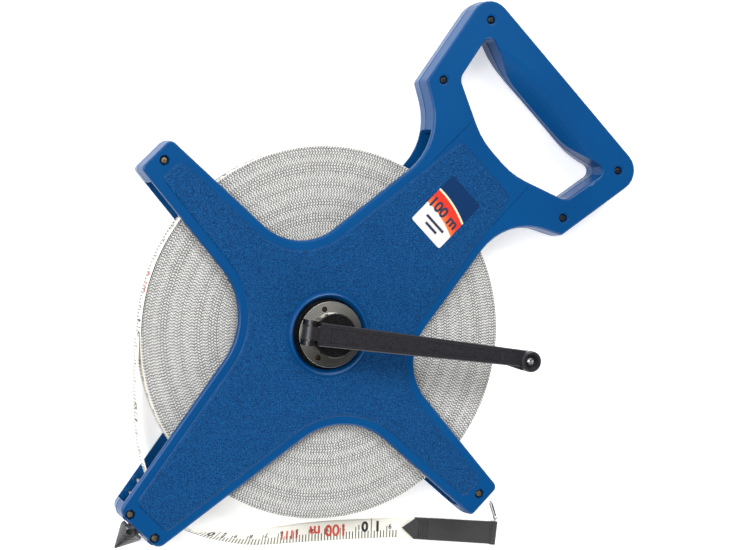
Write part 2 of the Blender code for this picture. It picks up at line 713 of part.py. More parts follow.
def build_crank():
    crank = Matrix.Rotation(CRANK_ANGLE, 4, "Z")
    upright = Matrix.Rotation(math.pi / 2.0, 4, "X")
    hinge = Matrix.Translation((HINGE_X, 0.0, HINGE_Z)) @ upright
    sections = [
        arm_section(-11.2, 6.8, ARM_BOTTOM_Z, ARM_TOP_Z, 0.5),
        arm_section(106.0, 5.15, ARM_BOTTOM_Z, ARM_TOP_Z, 0.5),
        arm_section(119.0, 5.0, ARM_BOTTOM_Z, ARM_TOP_Z, 0.5),
    ]
    look = material("crank_arm", (0.014, 0.014, 0.016), 0.0, 0.4)
    arm = prism("crank_arm", sections, look, crank)
    end = [(0.0, ARM_BOTTOM_Z), (5.9, ARM_BOTTOM_Z), (6.4, ARM_BOTTOM_Z + 0.5), (6.4, KNOB_FACE_Z - 0.7)]
    end += [(6.1, KNOB_FACE_Z - 0.2), (5.6, KNOB_FACE_Z), (0.0, KNOB_FACE_Z)]
    add(arm, lathe("end", end, 28, None, crank @ at(KNOB_X, KNOB_Y)))
    flare = [(107.0, -4.9), (117.6, -7.0), (121.0, -7.3), (121.0, 0.0), (107.0, 0.0)]
    add(arm, loft("flare", [(flare, ARM_BOTTOM_Z + 0.4), (flare, ARM_TOP_Z - 0.4)], None, crank))
    add(arm, cylinder("knuckle", 3.85, -4.0, 4.0, 24, None, crank @ hinge))
    add(arm, box("tongue", (-15.2, -3.99, 38.6), (-9.0, 3.99, 41.0), None, crank))
    recess = []
    for z, grow in ((43.0, 0.0), (44.1, 0.6), (46.0, 0.6)):
        rows = [(-4.5 - grow, 4.5 + grow), (103.5 + grow, 3.3 + grow)]
        recess.append([(x, side * y, z) for (x, y), side in zip((*rows, *reversed(rows)), (-1, -1, 1, 1))])
    cut(arm, prism("recess", recess, None, crank))
    channel = [
        [(15.0, -4.6, 37.0), (15.0, 4.6, 37.0), (15.0, 4.6, 41.6), (15.0, -4.6, 41.6)],
        [(110.0, -3.3, 37.0), (110.0, 3.3, 37.0), (110.0, 3.3, 41.6), (110.0, -3.3, 41.6)],
    ]
    cut(arm, prism("channel", channel, None, crank))
    cut(arm, cylinder("hole", PIN_R, -9.0, 9.0, 12, None, crank @ hinge))
    end_hole = [(0.0, 30.0), (1.4, 30.0), (1.4, 45.0), (4.2, 45.0), (4.5, 50.0), (0.0, 50.0)]
    cut(arm, lathe("hole", end_hole, 20, None, crank @ at(KNOB_X, KNOB_Y)))
    set_origin(arm, crank @ Vector((HINGE_X, 0.0, HINGE_Z)))
    smooth(arm)

    spot = crank @ Vector((KNOB_X, KNOB_Y, 0.0))
    spindle_profile = [(0.0, 26.3), (3.2, 26.3), (3.2, 27.7), (2.2, 28.0)]
    spindle_profile += [(2.2, 38.5), (1.3, 38.5), (1.3, 30.3), (0.0, 30.3)]
    look = material("knob_spindle", (0.5, 0.5, 0.5), 1.0, 0.3)
    spindle = lathe("knob_spindle", spindle_profile, 20, look, at(spot.x, spot.y))
    set_origin(spindle, (spot.x, spot.y, 38.5))
    smooth(spindle)
    look = material("knob_screw", (0.66, 0.66, 0.66), 1.0, 0.22)
    smooth(phillips_screw("knob_screw", spot.x, spot.y, 45.3, 2.3, 1.4, 1.0, 31.0, look, 0.5))

    grip_profile = [(3.5, 26.0), (4.5, 26.0), (5.0, 26.5), (5.2, 29.5), (4.9, 32.3), (5.2, 35.2)]
    grip_profile += [(5.0, 37.7), (4.5, 38.2), (2.5, 38.2), (2.5, 28.4), (3.5, 28.1)]
    look = material("knob_grip", (0.014, 0.014, 0.016), 0.0, 0.45)
    grip = lathe("knob_grip", grip_profile, 24, look, at(spot.x, spot.y))
    set_origin(grip, (spot.x, spot.y, 32.0))
    smooth(grip)


def build_label():
    corners = [(83.9, 12.7), (120.7, 12.7), (120.7, -12.7), (83.9, -12.7)]
    points = rounded([(*from_uv(u, v), 1.3, 3) for u, v in corners])
    z = MID_Z + PANEL_H
    look = material("label", (0.62, 0.60, 0.56), 0.0, 0.3)
    made = loft("label", [(points, z + 0.08), (points, z + 0.34)], look)
    set_origin(made, (*from_uv(102.3, 0.0), z))


def build_tape_end():
    look = material("tape_lead", (0.82, 0.80, 0.72), 0.0, 0.5)
    lead = ribbon("tape_lead", LEAD_PATH, TAPE_WIDTH, TAPE_THICK, look)
    smooth(lead, 50.0)

    place = Matrix.Translation((*SLEEVE_TIP, 0.0)) @ Matrix.Rotation(SLEEVE_ANGLE, 4, "Z")
    half = 6.6
    outline = [(0.0, 0.0), (8.6, half), (57.0, half + 0.3), (62.0, half + 0.5)]
    outline += [(62.0, -half - 0.5), (57.0, -half - 0.3), (8.6, -half)]
    look = material("end_sleeve", (0.02, 0.02, 0.02), 0.0, 0.6)
    levels = []
    for inset, z in ((0.25, 0.1), (0.0, 0.4), (0.0, 2.7), (0.25, 3.0)):
        narrow = 1.0 - inset / half
        levels.append([(max(x, inset * 1.6), y * narrow, z) for x, y in outline])
    sleeve = prism("end_sleeve", levels, look, place)
    hem = [(0.0, -half - 0.6), (1.95, -half - 0.6), (1.95, half + 0.6), (0.0, half + 0.6)]
    across = Matrix.Translation((HEM_S, 0.0, 2.05)) @ Matrix.Rotation(-math.pi / 2.0, 4, "X")
    add(sleeve, lathe("hem", hem, 20, None, place @ across))
    cut(sleeve, box("slot", (-1.0, -6.35, 1.1), (49.0, 6.35, 2.1), None, place))
    cut(sleeve, cylinder("hole", 0.95, -12.0, 12.0, 12, None, place @ across))
    for k in range(5):
        x = 10.5 + 1.5 * k
        cut(sleeve, box("rib", (x, -5.4, 2.75), (x + 0.7, 5.4, 4.0), None, place))
    set_origin(sleeve, place @ Vector((HEM_S, 0.0, 2.05)))
    smooth(sleeve, 40.0)

    strand = [(6.5, 0.0)]
    strand += arc_points((11.2, 1.9), 1.9, -90.0, 90.0, 8)
    strand += [(6.5, 3.8), (3.6, 3.5)]
    strand += arc_points((2.3, 2.5), 1.25, 50.0, 230.0, 6)
    lean = math.radians(LOOP_LEAN)
    path = [(0.0, -6.9, 0.0), (0.0, 0.0, 0.0), (0.0, LOOP_BEND, 0.0)]
    path += [(-math.sin(lean) * s, LOOP_BEND + math.cos(lean) * s, z) for s, z in strand]
    hinge = place @ Matrix.Translation((HEM_S, 0.0, 2.05))
    points = [hinge @ Vector(point) for point in path]
    loop = wire("end_loop", points, 0.6, 8, material("end_loop", (0.6, 0.6, 0.6), 1.0, 0.2))
    set_origin(loop, place @ Vector((HEM_S, 0.0, 2.05)))
    smooth(loop, 50.0)


for existing in list(bpy.data.objects):
    bpy.data.objects.remove(existing)
build_frame()
build_spike()
build_reel()
build_crank_hub()
build_crank()
build_label()
build_tape_end()
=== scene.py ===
"""Surveyor tape reel lying on its back on a pale floor, seen from above and a little to its left.

Lengths are written in millimetres and scaled by MM. The frame is the CAD's: the origin is on the reel's
axle at the rear resting face, +Z runs up to the crank, and the grip lies between +X and +Y.
"""

import math
import random

import bmesh
import bpy
from mathutils import Matrix, Vector


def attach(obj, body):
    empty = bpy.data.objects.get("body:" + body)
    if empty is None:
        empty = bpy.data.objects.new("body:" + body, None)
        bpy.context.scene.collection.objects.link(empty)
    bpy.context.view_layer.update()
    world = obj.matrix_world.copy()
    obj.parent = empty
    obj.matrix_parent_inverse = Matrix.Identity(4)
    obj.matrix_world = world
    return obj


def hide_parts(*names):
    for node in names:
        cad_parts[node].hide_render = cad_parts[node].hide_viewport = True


MM = 0.001
MID_Z = 12.45

# The camera: what it looks at, how far away it stands, and its angles in degrees
AIM = (28.42, 34.58, 24.0)
DISTANCE = 982.9
TO_LEFT = 19.98
UPWARD = 2.73
ROLL = 1.11
LENS = 80.0

# Where the shells are grained: on the front panel, above this height and outside the collar round the hub,
# and on the rear panel, below this height
FRONT_PANEL_Z = 24.3
REAR_PANEL_Z = 0.6
COLLAR_R = 25.6

# The middle of the dark part of the sky, which the faces that look up at the camera mirror
DARK_SKY = (0.38, -0.19, 0.90)
# The middle of a second dark part, low on the side that the grip's finger slope faces
DARK_CORNER = (-0.5, -0.85, 0.3)

# Tape
TAPE_WIDTH = 12.2
TAPE_THICK = 0.4
COIL_R = 110.0
CORE_R = 31.3
RING_PITCH = 1.64
# One slanted dash of the weave and the gap after it, along a turn
DASH_PITCH = 1.7

# The print on the tape: how far apart its lines are, how many make a centimetre, and how far it stands off
LINE_PITCH = 2.0
LINES_PER_CM = 5
INK_LIFT = 0.03

# The label: its upper face, and where it starts and ends along the handle
LABEL_TOP_Z = 25.24
LABEL_START = 83.9
LABEL_END = 120.7

# The tape's free end: x, y, z and twist in degrees, 0 with its width along Z and 90 lying flat
LEAD_PATH = [
    (-110.75, -1.0, 12.45, 0.0),
    (-111.1, -14.0, 12.45, 0.0),
    (-111.2, -30.0, 12.45, 0.0),
    (-110.7, -46.0, 12.45, 0.0),
    (-109.4, -60.0, 12.45, 0.0),
    (-107.1, -71.0, 12.45, 0.0),
    (-103.9, -81.5, 12.45, 0.0),
    (-100.4, -91.0, 12.45, 0.0),
    (-98.1, -98.0, 12.45, 0.0),
    (-97.4, -101.6, 12.45, 0.0),
    (-96.9, -104.2, 12.45, 0.0),
    (-95.3, -106.3, 12.45, 0.0),
    (-92.6, -107.8, 12.45, 0.0),
    (-87.0, -110.3, 12.4, 5.0),
    (-80.5, -113.2, 12.0, 14.0),
    (-71.9, -115.9, 11.0, 24.0),
    (-62.5, -118.3, 9.7, 34.0),
    (-46.6, -120.9, 7.2, 49.0),
    (-35.6, -121.8, 5.4, 59.0),
    (-24.1, -121.6, 3.7, 69.0),
    (-4.9, -121.2, 1.5, 83.0),
    (10.0, -121.1, 0.7, 90.0),
    (24.0, -121.1, 0.55, 90.0),
    (40.0, -121.2, 0.6, 90.0),
    (50.0, -121.3, 1.05, 90.0),
    (60.0, -121.7, 1.6, 90.0),
    (80.0, -123.7, 1.6, 90.0),
    (104.0, -126.2, 1.6, 90.0),
]
# Where the tenth centimetre's line lies, measured along the tape from the coil
TEN_CM_AT = 244.0


class Look:
    """A node material with a Principled shader, and short ways to add texture nodes to it."""

    def __init__(self, name, colour, roughness=0.5, metallic=0.0):
        self.material = bpy.data.materials.new(name)
        self.material.use_nodes = True
        self.tree = self.material.node_tree
        self.shader = self.tree.nodes["Principled BSDF"]
        self.set("Base Color", (*colour, 1.0))
        self.set("Roughness", roughness)
        self.set("Metallic", metallic)
        self.place = self.tree.nodes.new("ShaderNodeTexCoord").outputs["Object"]

    def put(self, socket, value):
        if isinstance(value, bpy.types.NodeSocket):
            self.tree.links.new(value, socket)
        else:
            socket.default_value = value

    def set(self, name, value):
        self.put(self.shader.inputs[name], value)

    def node(self, kind, settings=(), inputs=()):
        made = self.tree.nodes.new(kind)
        for name, value in dict(settings).items():
            setattr(made, name, value)
        for name, value in dict(inputs).items():
            self.put(made.inputs[name], value)
        return made

    def math(self, operation, first, second=0.0, third=0.0):
        inputs = {0: first, 1: second, 2: third}
        return self.node("ShaderNodeMath", {"operation": operation}, inputs).outputs[0]

    def axes(self):
        return self.node("ShaderNodeSeparateXYZ", (), {0: self.place}).outputs

    def vector(self, x, y, z):
        return self.node("ShaderNodeCombineXYZ", (), {0: x, 1: y, 2: z}).outputs[0]

    def stretched(self, scale, turn):
        inputs = {"Vector": self.place, "Scale": scale, "Rotation": turn}
        return self.node("ShaderNodeMapping", (), inputs).outputs[0]

    def noise(self, scale, detail=2.0, roughness=0.5, place=None):
        inputs = {"Vector": place or self.place, "Scale": scale, "Detail": detail, "Roughness": roughness}
        return self.node("ShaderNodeTexNoise", (), inputs).outputs["Fac"]

    def cells(self, scale):
        inputs = {"Vector": self.place, "Scale": scale}
        return self.node("ShaderNodeTexVoronoi", (), inputs).outputs["Distance"]

    def polar(self):
        """The distance from the reel's axle, and the angle round it."""
        x, y, _ = self.axes()
        squares = self.math("ADD", self.math("MULTIPLY", x, x), self.math("MULTIPLY", y, y))
        return self.math("SQRT", squares), self.math("ARCTAN2", y, x)

    def ramp(self, factor, stops):
        """A colour for each value of factor: stops is a list of (position, colour)."""
        made = self.node("ShaderNodeValToRGB", (), {"Fac": factor})
        ramp = made.color_ramp
        while len(ramp.elements) < len(stops):
            ramp.elements.new(0.5)
        for element, (position, colour) in zip(ramp.elements, stops):
            element.position = position
            element.color = (*colour, 1.0)
        return made.outputs["Color"]

    def fit(self, value, low, high, new_low, new_high):
        inputs = {"Value": value, 1: low, 2: high, 3: new_low, 4: new_high}
        return self.node("ShaderNodeMapRange", (), inputs).outputs["Result"]

    def mix(self, factor, first, second):
        made = self.node("ShaderNodeMix", {"data_type": "RGBA"}, {"Factor": factor})
        for socket, value in zip([s for s in made.inputs if s.type == "RGBA"], (first, second)):
            self.put(socket, value if isinstance(value, bpy.types.NodeSocket) else (*value, 1.0))
        return next(s for s in made.outputs if s.type == "RGBA")

    def bump(self, height, distance):
        inputs = {"Height": height, "Distance": distance * MM, "Strength": 1.0}
        self.set("Normal", self.node("ShaderNodeBump", (), inputs).outputs["Normal"])


def dress(names, look):
    for name in names:
        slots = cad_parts[name].data.materials
        slots.clear()
        slots.append(look.material)


def piece(name, mesh, looks, body, smooth=True):
    """A new object from a bmesh in millimetres, riding on a body."""
    bmesh.ops.scale(mesh, vec=(MM, MM, MM), verts=mesh.verts)
    for face in mesh.faces:
        face.smooth = smooth
    data = bpy.data.meshes.new(name)
    mesh.to_mesh(data)
    mesh.free()
    for look in looks:
        data.materials.append(look.material)
    made = bpy.data.objects.new(name, data)
    bpy.context.scene.collection.objects.link(made)
    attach(made, body)
    return made


# ---------------------------------------------------------------- camera, light and floor


def add_camera():
    across, up = math.radians(TO_LEFT), math.radians(UPWARD)
    back = Vector((-math.sin(across) * math.cos(up), math.sin(up), math.cos(across) * math.cos(up)))
    right = Vector((0.0, 1.0, 0.0)).cross(back).normalized()
    top = back.cross(right)
    roll = math.radians(ROLL)
    turned_right = right * math.cos(roll) + top * math.sin(roll)
    turned_top = top * math.cos(roll) - right * math.sin(roll)
    data = bpy.data.cameras.new("camera")
    data.lens = LENS
    data.sensor_width = 36.0
    data.clip_start = 0.01
    camera = bpy.data.objects.new("camera", data)
    place = Matrix((turned_right, turned_top, back)).transposed().to_4x4()
    place.translation = (Vector(AIM) + back * DISTANCE) * MM
    camera.matrix_world = place
    bpy.context.scene.collection.objects.link(camera)
    bpy.context.scene.camera = camera


def area_light(name, place, size, watts):
    """A soft light at a place in metres, which looks at the origin."""
    data = bpy.data.lights.new(name, "AREA")
    data.shape = "RECTANGLE"
    data.size, data.size_y = size
    data.energy = watts
    light = bpy.data.objects.new(name, data)
    light.location = place
    light.rotation_euler = (-Vector(place)).to_track_quat("-Z", "Y").to_euler()
    bpy.context.scene.collection.objects.link(light)


def add_studio():
    world = bpy.data.worlds.new("studio")
    world.use_nodes = True
    tree = world.node_tree
    sky = tree.nodes["Background"]
    direction = tree.nodes.new("ShaderNodeTexCoord").outputs["Generated"]

    def dim(middle, start, end, least):
        """1 far from the middle direction, falling to least near it."""
        nearness = tree.nodes.new("ShaderNodeVectorMath")
        nearness.operation = "DOT_PRODUCT"
        tree.links.new(direction, nearness.inputs[0])
        nearness.inputs[1].default_value = Vector(middle).normalized()
        fade = tree.nodes.new("ShaderNodeMapRange")
        tree.links.new(nearness.outputs["Value"], fade.inputs["Value"])
        for i, value in enumerate((start, end, 1.0, least)):
            fade.inputs[i + 1].default_value = value
        return fade.outputs["Result"]

    grey = tree.nodes.new("ShaderNodeMath")
    grey.operation = "MULTIPLY"
    tree.links.new(dim(DARK_SKY, 0.84, 0.965, 0.01), grey.inputs[0])
    tree.links.new(dim(DARK_CORNER, 0.55, 0.9, 0.12), grey.inputs[1])
    tree.links.new(grey.outputs[0], sky.inputs["Color"])
    sky.inputs["Strength"].default_value = 0.62
    bpy.context.scene.world = world
    bpy.context.scene.view_settings.view_transform = "Standard"

    area_light("key", (-1.35, 0.45, 1.25), (1.3, 1.3), 32.0)
    area_light("rim", (0.3, 1.1, 1.25), (1.0, 0.6), 17.0)
    area_light("fill", (0.9, -1.6, 0.7), (2.4, 1.3), 30.0)


def add_floor():
    mesh = bmesh.new()
    bmesh.ops.create_grid(mesh, x_segments=1, y_segments=1, size=4.0)
    bmesh.ops.translate(mesh, vec=(0.0, 0.0, -0.0002), verts=mesh.verts)
    data = bpy.data.meshes.new("floor")
    mesh.to_mesh(data)
    mesh.free()
    floor = bpy.data.objects.new("floor", data)
    bpy.context.scene.collection.objects.link(floor)
    look = Look("floor", (0.86, 0.86, 0.86), 0.9)
    look.set("Specular IOR Level", 0.1)
    look.set("Emission Color", (1.0, 1.0, 1.0, 1.0))
    look.set("Emission Strength", 0.42)
    data.materials.append(look.material)


# ---------------------------------------------------------------- the tape's free end


def smooth_stations(points, spacing):
    """Points of a smooth curve through the stations, spaced evenly, each with its twist."""
    places = [Vector(point) for point in points]
    at = [0.0]
    for a, b in zip(places, places[1:]):
        at.append(at[-1] + (b.to_3d() - a.to_3d()).length)
    slopes = []
    for i in range(len(places)):
        low, high = max(i - 1, 0), min(i + 1, len(places) - 1)
        slopes.append((places[high] - places[low]) / (at[high] - at[low]))
    count = int(at[-1] / spacing)
    found = []
    span = 0
    for k in range(count + 1):
        s = at[-1] * k / count
        while span < len(at) - 2 and s > at[span + 1]:
            span += 1
        width = at[span + 1] - at[span]
        t = (s - at[span]) / width
        start = places[span] * (2 * t**3 - 3 * t**2 + 1) + slopes[span] * (width * (t**3 - 2 * t**2 + t))
        end = places[span + 1] * (3 * t**2 - 2 * t**3) + slopes[span + 1] * (width * (t**3 - t**2))
        found.append(start + end)
    return found


class Strip:
    """The tape's middle line with its two cross directions, so that print can be laid on it."""

    def __init__(self, stations):
        self.points = [Vector(s[:3]) for s in stations]
        self.across, self.face, self.at = [], [], [0.0]
        for a, b in zip(self.points, self.points[1:]):
            self.at.append(self.at[-1] + (b - a).length)
        last = len(self.points) - 1
        for i, station in enumerate(stations):
            run = (self.points[min(i + 1, last)] - self.points[max(i - 1, 0)]).normalized()
            side = Vector((run.y, -run.x, 0.0)).normalized()
            lift = run.cross(side)
            if lift.z < 0.0:
                lift = -lift
            twist = math.radians(station[3])
            across = (lift * math.cos(twist) - side * math.sin(twist)).normalized()
            self.across.append(across)
            self.face.append(run.cross(across).normalized())

    def spot(self, along, across, out):
        """The place at a length along the tape, a distance towards its upper edge and one off its face."""
        span = 0
        while span < len(self.at) - 2 and self.at[span + 1] < along:
            span += 1
        t = (along - self.at[span]) / (self.at[span + 1] - self.at[span])
        t = min(max(t, 0.0), 1.0)
        point = self.points[span].lerp(self.points[span + 1], t)
        over = self.across[span].lerp(self.across[span + 1], t)
        face = self.face[span].lerp(self.face[span + 1], t)
        return point + over * across + face * out


def ribbon_mesh(strip, width, thick, rows=8):
    """The tape as a closed strip, a little crowned across its width."""
    mesh = bmesh.new()
    rings = []
    for i in range(len(strip.points)):
        ring = []
        for side in (1.0, -1.0):
            for k in range(rows + 1):
                v = (k / rows - 0.5) * side
                lift = thick / 2.0 * (1.0 - 0.5 * (2.0 * abs(v)) ** 8)
                place = strip.points[i] + strip.across[i] * (v * width) + strip.face[i] * (lift * side)
                ring.append(mesh.verts.new(place))
        rings.append(ring)
    for lower, upper in zip(rings, rings[1:]):
        for i in range(len(lower)):
            j = (i + 1) % len(lower)
            mesh.faces.new((lower[i], upper[i], upper[j], lower[j]))
    mesh.faces.new(rings[0])
    mesh.faces.new(list(reversed(rings[-1])))
    bmesh.ops.recalc_face_normals(mesh, faces=mesh.faces)
    return mesh


def glyph_outlines(text, size, bold=0.0):
    """A text as flat triangles with its lower left corner at the origin: points, faces, width and height."""
    curve = bpy.data.curves.new("glyphs", "FONT")
    curve.body = text
    curve.size = size
    curve.offset = bold
    curve.resolution_u = 4
    holder = bpy.data.objects.new("glyphs", curve)
    bpy.context.scene.collection.objects.link(holder)
    bpy.context.view_layer.update()
    data = bpy.data.meshes.new_from_object(holder.evaluated_get(bpy.context.evaluated_depsgraph_get()))
    data.calc_loop_triangles()
    points = [tuple(v.co[:2]) for v in data.vertices]
    faces = [tuple(t.vertices) for t in data.loop_triangles]
    bpy.data.objects.remove(holder)
    bpy.data.curves.remove(curve)
    bpy.data.meshes.remove(data)
    low_x, low_y = min(p[0] for p in points), min(p[1] for p in points)
    points = [(x - low_x, y - low_y) for x, y in points]
    return points, faces, max(p[0] for p in points), max(p[1] for p in points)


def print_text(mesh, place, text, size, along, across, bold=0.0):
    """Lays a text on a surface, upside down: place(along, across) gives a point, along is its middle."""
    points, faces, width, height = glyph_outlines(text, size, bold)
    verts = []
    for x, y in points:
        verts.append(mesh.verts.new(place(along + width / 2.0 - x, across + height / 2.0 - y)))
    for face in faces:
        mesh.faces.new([verts[i] for i in face])


def print_bar(mesh, place, along, low, high, width):
    corners = ((-1, low), (1, low), (1, high), (-1, high))
    mesh.faces.new([mesh.verts.new(place(along + a * width / 2.0, b)) for a, b in corners])


def print_scale(black, place, start, end, zero):
    """Lines along the lower edge, longer ones every centimetre, and a number before each of those."""
    half = TAPE_WIDTH / 2.0
    first = math.ceil((start - zero) / LINE_PITCH)
    last = math.floor((end - zero) / LINE_PITCH)
    for k in range(first, last + 1):
        at = zero + LINE_PITCH * k
        whole = k % LINES_PER_CM == 0
        tenth = k % (10 * LINES_PER_CM) == 0
        top = half - 0.1 if tenth else (1.4 if whole else -1.3)
        print_bar(black, place, at, -half + 0.3, top, 0.55 if whole else 0.62)
        if not whole:
            continue
        centimetre = 10 - k // LINES_PER_CM
        if tenth:
            print_text(black, place, "1", 8.4, at + 4.0, 1.3, 0.38)
            print_text(black, place, "0", 8.4, at - 4.2, 1.3, 0.38)
        elif at + 2.0 < end:
            print_text(black, place, str(centimetre % 10), 4.2, at + 2.0, 0.9, 0.12)


def add_tape_end(looks):
    strip = Strip(smooth_stations(LEAD_PATH, 1.0))
    tape = piece("tape_free_end", ribbon_mesh(strip, TAPE_WIDTH, TAPE_THICK), [looks["tape"]], "frame")
    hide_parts("tape_lead")

    def on_face(along, across):
        return strip.spot(along, across, TAPE_THICK / 2.0 + INK_LIFT)

    black, red = bmesh.new(), bmesh.new()
    print_scale(black, on_face, 2.0, TEN_CM_AT + 17.5, TEN_CM_AT)
    print_text(red, on_face, "100 m", 9.6, TEN_CM_AT - 28.5, 0.0, 0.22)
    for k in range(4):
        print_bar(red, on_face, TEN_CM_AT - 48.0 - 3.2 * k, -3.4, 2.2, 1.3)
    for name, mesh in (("tape_marks_black", black), ("tape_marks_red", red)):
        made = piece(name, mesh, [looks[name]], "frame", smooth=False)


# ---------------------------------------------------------------- the coil


def add_coil(looks):
    """The wound tape: edges that stand a little higher or lower from turn to turn, and a printed rim."""
    chance = random.Random(7)
    half = TAPE_WIDTH / 2.0
    steps = 192
    rings = []
    radius = CORE_R
    while radius < COIL_R - RING_PITCH * 0.6:
        height = half - 0.28 + 0.18 * (chance.random() - 0.5)
        rings.append((radius + 0.12, height - 0.12))
        rings.append((radius + RING_PITCH * 0.3, height))
        rings.append((radius + RING_PITCH * 0.8, height))
        radius += RING_PITCH
    rings.append((COIL_R - 0.3, half - 0.25))
    profile = [(r, MID_Z - h) for r, h in rings]
    corner = half - 0.3
    profile += [(COIL_R - 0.08, MID_Z - corner), (COIL_R - 0.05, MID_Z), (COIL_R - 0.08, MID_Z + corner)]
    profile += [(r, MID_Z + h) for r, h in reversed(rings)]
    mesh = bmesh.new()
    columns = []
    for k in range(steps):
        angle = 2.0 * math.pi * k / steps
        columns.append([mesh.verts.new((r * math.cos(angle), r * math.sin(angle), z)) for r, z in profile])
    outer = len(rings)
    for k in range(steps):
        here, there = columns[k], columns[(k + 1) % steps]
        for i in range(len(profile)):
            j = (i + 1) % len(profile)
            face = mesh.faces.new((here[i], there[i], there[j], here[j]))
            face.material_index = 1 if outer <= i + 1 <= outer + 3 and j else 0
    bmesh.ops.recalc_face_normals(mesh, faces=mesh.faces)
    coil = piece("coil_of_tape", mesh, [looks["coil"], looks["tape"]], "reel")
    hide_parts("tape_coil")

    def on_rim(along, across):
        angle = math.pi - along / COIL_R
        radius = COIL_R + 0.02
        return Vector((radius * math.cos(angle), radius * math.sin(angle), MID_Z + across))

    black, red = bmesh.new(), bmesh.new()
    print_scale(black, on_rim, 1.0, 2.0 * math.pi * COIL_R - 2.0, 4.0)
    for k in range(7):
        print_text(red, on_rim, "%d m" % (k + 1), 8.5, 30.0 + 98.0 * k, 0.5, 0.2)
    for name, mesh in (("rim_marks_black", black), ("rim_marks_red", red)):
        made = piece(name, mesh, [looks["tape_marks_" + name.split("_")[-1]]], "reel", smooth=False)


# ---------------------------------------------------------------- materials


def moulded_blue():
    """Blue plastic, finely grained on both panels, and smooth on their borders and the collar."""
    look = Look("moulded_blue", (0.005, 0.07, 0.22), 0.4)
    z = look.axes()[2]
    reach, _ = look.polar()
    outside = look.math("GREATER_THAN", reach, COLLAR_R * MM)
    front = look.math("MULTIPLY", look.math("GREATER_THAN", z, FRONT_PANEL_Z * MM), outside)
    panel = look.math("MAXIMUM", front, look.math("LESS_THAN", z, REAR_PANEL_Z * MM))
    grain = look.noise(2300.0, 1.5, 0.6)
    height = look.math("ADD", grain, look.cells(900.0))
    stops = [(0.36, (0.0003, 0.014, 0.064)), (0.5, (0.0008, 0.043, 0.145)), (0.66, (0.008, 0.105, 0.30))]
    fleck = look.ramp(grain, stops)
    plain = look.ramp(look.noise(18.0), [(0.3, (0.0008, 0.050, 0.172)), (0.7, (0.0015, 0.060, 0.198))])
    look.set("Base Color", look.mix(panel, plain, fleck))
    look.set("Roughness", look.fit(panel, 0.0, 1.0, 0.3, 0.45))
    look.set("Specular IOR Level", look.fit(panel, 0.0, 1.0, 0.22, 0.1))
    look.bump(look.math("MULTIPLY", height, panel), 0.2)
    return look


def wound_tape():
    """The edges of the turns: dark lines between them, and the weave's dashes, slanted to and fro."""
    look = Look("wound_tape", (0.6, 0.6, 0.58), 0.75)
    reach, angle = look.polar()
    turn = look.math("DIVIDE", look.math("SUBTRACT", reach, CORE_R * MM), RING_PITCH * MM)
    ring = look.math("FLOOR", turn)
    inside = look.math("FRACT", turn)
    across = look.math("PINGPONG", inside, 0.5)

    ring_radius = look.math("MULTIPLY_ADD", ring, RING_PITCH, CORE_R)
    dashes = look.math("ROUND", look.math("MULTIPLY", ring_radius, 2.0 * math.pi / DASH_PITCH))
    chance = look.node("ShaderNodeTexWhiteNoise", {"noise_dimensions": "1D"}, {"W": ring}).outputs["Value"]
    along = look.math("MULTIPLY_ADD", look.math("MULTIPLY", angle, 0.5 / math.pi), dashes, chance)
    to_and_fro = look.math("SUBTRACT", look.math("MULTIPLY", look.math("MODULO", ring, 2.0), 2.0), 1.0)
    slanted = look.math("ADD", along, look.math("MULTIPLY", look.math("MULTIPLY", inside, to_and_fro), 0.62))
    dash = look.fit(look.math("PINGPONG", slanted, 0.5), 0.22, 0.33, 0.0, 1.0)
    dash = look.math("MULTIPLY", dash, look.fit(across, 0.10, 0.24, 0.0, 1.0))

    patch = look.noise(450.0, 3.0, 0.7)
    light = look.ramp(patch, [(0.3, (0.50, 0.50, 0.49)), (0.7, (0.76, 0.755, 0.73))])
    dark = look.ramp(patch, [(0.3, (0.03, 0.03, 0.03)), (0.7, (0.17, 0.165, 0.16))])
    stops = [(0.0, (0.015, 0.015, 0.015)), (0.35, (0.06, 0.06, 0.06)), (0.75, (0.46, 0.46, 0.44))]
    line = look.ramp(chance, stops)
    edge = look.fit(across, 0.06, 0.15, 0.0, 1.0)
    colour = look.mix(edge, line, look.mix(dash, light, dark))

    # Painted shadow under the last turn, where it stands off the coil: the base colour goes dark in a thin
    # ring near the rim, on the upper left side only
    painted_shadow = look.fit(reach, 108.9 * MM, 109.15 * MM, 0.0, 1.0)
    painted_shadow = look.math("MULTIPLY", painted_shadow, look.fit(angle, 1.8, 2.7, 0.0, 0.9))
    painted_shadow = look.math("MULTIPLY", painted_shadow, look.fit(reach, 109.5 * MM, 109.65 * MM, 1.0, 0.0))
    look.set("Base Color", look.mix(painted_shadow, colour, (0.03, 0.03, 0.03)))
    look.bump(look.math("MULTIPLY", look.math("SUBTRACT", 1.0, dash), edge), 0.15)
    return look


def printed_tape():
    look = Look("printed_tape", (0.80, 0.78, 0.70), 0.42)
    stops = [(0.3, (0.76, 0.735, 0.65)), (0.7, (0.84, 0.825, 0.76))]
    look.set("Base Color", look.ramp(look.noise(35.0, 3.0), stops))
    look.bump(look.noise(2600.0, 1.0), 0.03)
    return look


def ink(name, low, high):
    look = Look(name, low, 0.5)
    look.set("Base Color", look.ramp(look.noise(700.0), [(0.35, low), (0.7, high)]))
    return look


def turned_steel():
    """The hub's plate: lines from turning round the axle, on a face that is a little domed."""
    look = Look("turned_steel", (0.6, 0.59, 0.55), 0.3, 1.0)
    reach, _ = look.polar()
    lines = look.noise(1.0, 4.0, 0.7, look.vector(look.math("MULTIPLY", reach, 2500.0), 0.0, 0.0))
    look.set("Base Color", look.ramp(lines, [(0.25, (0.46, 0.45, 0.41)), (0.75, (0.68, 0.66, 0.60))]))
    look.set("Roughness", look.fit(lines, 0.2, 0.8, 0.16, 0.26))
    look.bump(look.math("MULTIPLY_ADD", reach, -0.15 / MM, look.math("MULTIPLY", lines, 0.004)), 1.0)
    return look


